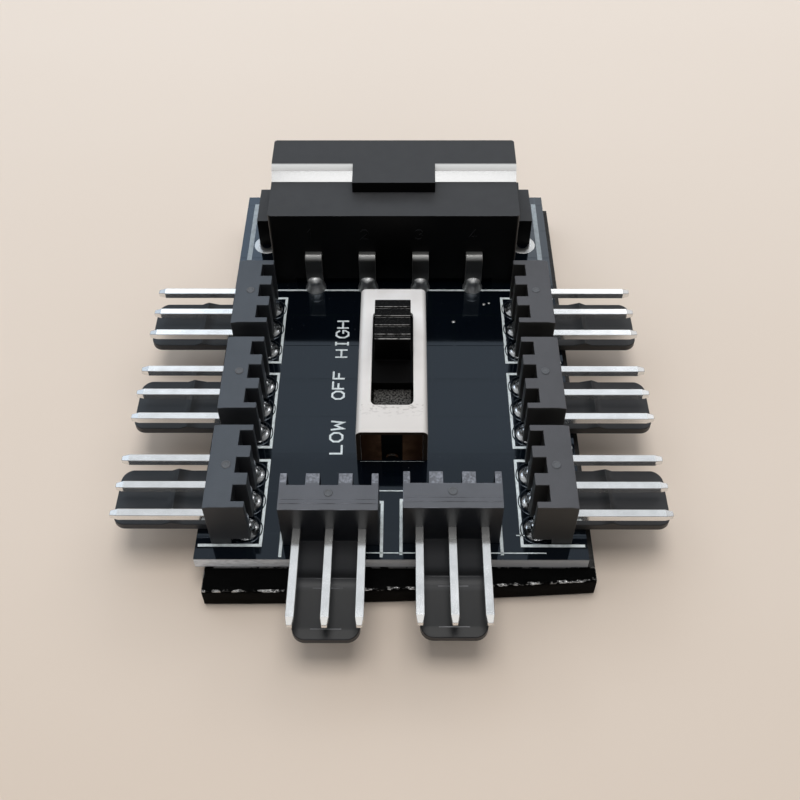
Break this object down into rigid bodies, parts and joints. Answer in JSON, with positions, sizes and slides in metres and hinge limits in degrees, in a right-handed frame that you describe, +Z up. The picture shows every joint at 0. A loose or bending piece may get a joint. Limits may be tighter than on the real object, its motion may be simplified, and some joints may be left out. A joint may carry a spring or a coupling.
{
  "type": "pc fan controller hub",
  "caption": "Small glossy circuit board on a foam pad, with right-angle fan headers round its edges, a power socket at the back and a slide switch for speed in the middle.",
  "frame": {"origin": "middle of the outline, at the underside of the pad", "axes": "+Z up out of the board, the board's front edge with its pair of fan headers at -Y, the power socket's mouth at +Y"},
  "size_m": [0.0446, 0.0492, 0.0134],
  "materials": {
    "header_plastic": "black moulded nylon, semi-gloss",
    "socket_plastic": "black moulded nylon, semi-gloss",
    "tinned_pin": "bright tin plating over brass",
    "solder": "bright solder",
    "board_mask": "glossy black solder mask over glass laminate",
    "foam": "black closed-cell foam with a glossy skin",
    "pad_film": "thin dark film",
    "switch_steel": "bright plated steel sheet",
    "switch_base_plastic": "dark brown moulded resin",
    "slider_plastic": "black moulded nylon, fine grain",
    "contact_metal": "plated brass"
  },
  "bodies": {
    "hub": {"circuit_board": "board_mask", "fan_header_front_left": "header_plastic", "fan_header_front_right": "header_plastic", "fan_header_left_1": "header_plastic", "fan_header_left_2": "header_plastic", "fan_header_left_3": "header_plastic", "fan_header_right_1": "header_plastic", "fan_header_right_2": "header_plastic", "fan_header_right_3": "header_plastic", "fan_pin_front_left_1": "tinned_pin", "fan_pin_front_left_2": "tinned_pin", "fan_pin_front_left_3": "tinned_pin", "fan_pin_front_right_1": "tinned_pin", "fan_pin_front_right_2": "tinned_pin", "fan_pin_front_right_3": "tinned_pin", "fan_pin_left_1_1": "tinned_pin", "fan_pin_left_1_2": "tinned_pin", "fan_pin_left_1_3": "tinned_pin", "fan_pin_left_2_1": "tinned_pin", "fan_pin_left_2_2": "tinned_pin", "fan_pin_left_2_3": "tinned_pin", "fan_pin_left_3_1": "tinned_pin", "fan_pin_left_3_2": "tinned_pin", "fan_pin_left_3_3": "tinned_pin", "fan_pin_right_1_1": "tinned_pin", "fan_pin_right_1_2": "tinned_pin", "fan_pin_right_1_3": "tinned_pin", "fan_pin_right_2_1": "tinned_pin", "fan_pin_right_2_2": "tinned_pin", "fan_pin_right_2_3": "tinned_pin", "fan_pin_right_3_1": "tinned_pin", "fan_pin_right_3_2": "tinned_pin", "fan_pin_right_3_3": "tinned_pin", "fan_solder_joints": "solder", "foam_pad": "foam", "pad_release_film": "pad_film", "power_contact_1": "tinned_pin", "power_contact_2": "tinned_pin", "power_contact_3": "tinned_pin", "power_contact_4": "tinned_pin", "power_socket_housing": "socket_plastic", "power_solder_joints": "solder", "switch_base": "switch_base_plastic", "switch_cover": "switch_steel", "switch_solder_joints": "solder", "switch_terminal_left_1": "contact_metal", "switch_terminal_left_2": "contact_metal", "switch_terminal_left_3": "contact_metal", "switch_terminal_left_4": "contact_metal", "switch_terminal_right_1": "contact_metal", "switch_terminal_right_2": "contact_metal", "switch_terminal_right_3": "contact_metal", "switch_terminal_right_4": "contact_metal"},
    "slider": {"switch_slider": "slider_plastic", "switch_bridge_left": "contact_metal", "switch_bridge_right": "contact_metal"}
  },
  "joints": [
    {"name": "speed_slide", "type": "slide", "parent": "hub", "child": "slider", "axis": [0, 1, 0], "range_m": [-0.005, 0]}
  ]
}
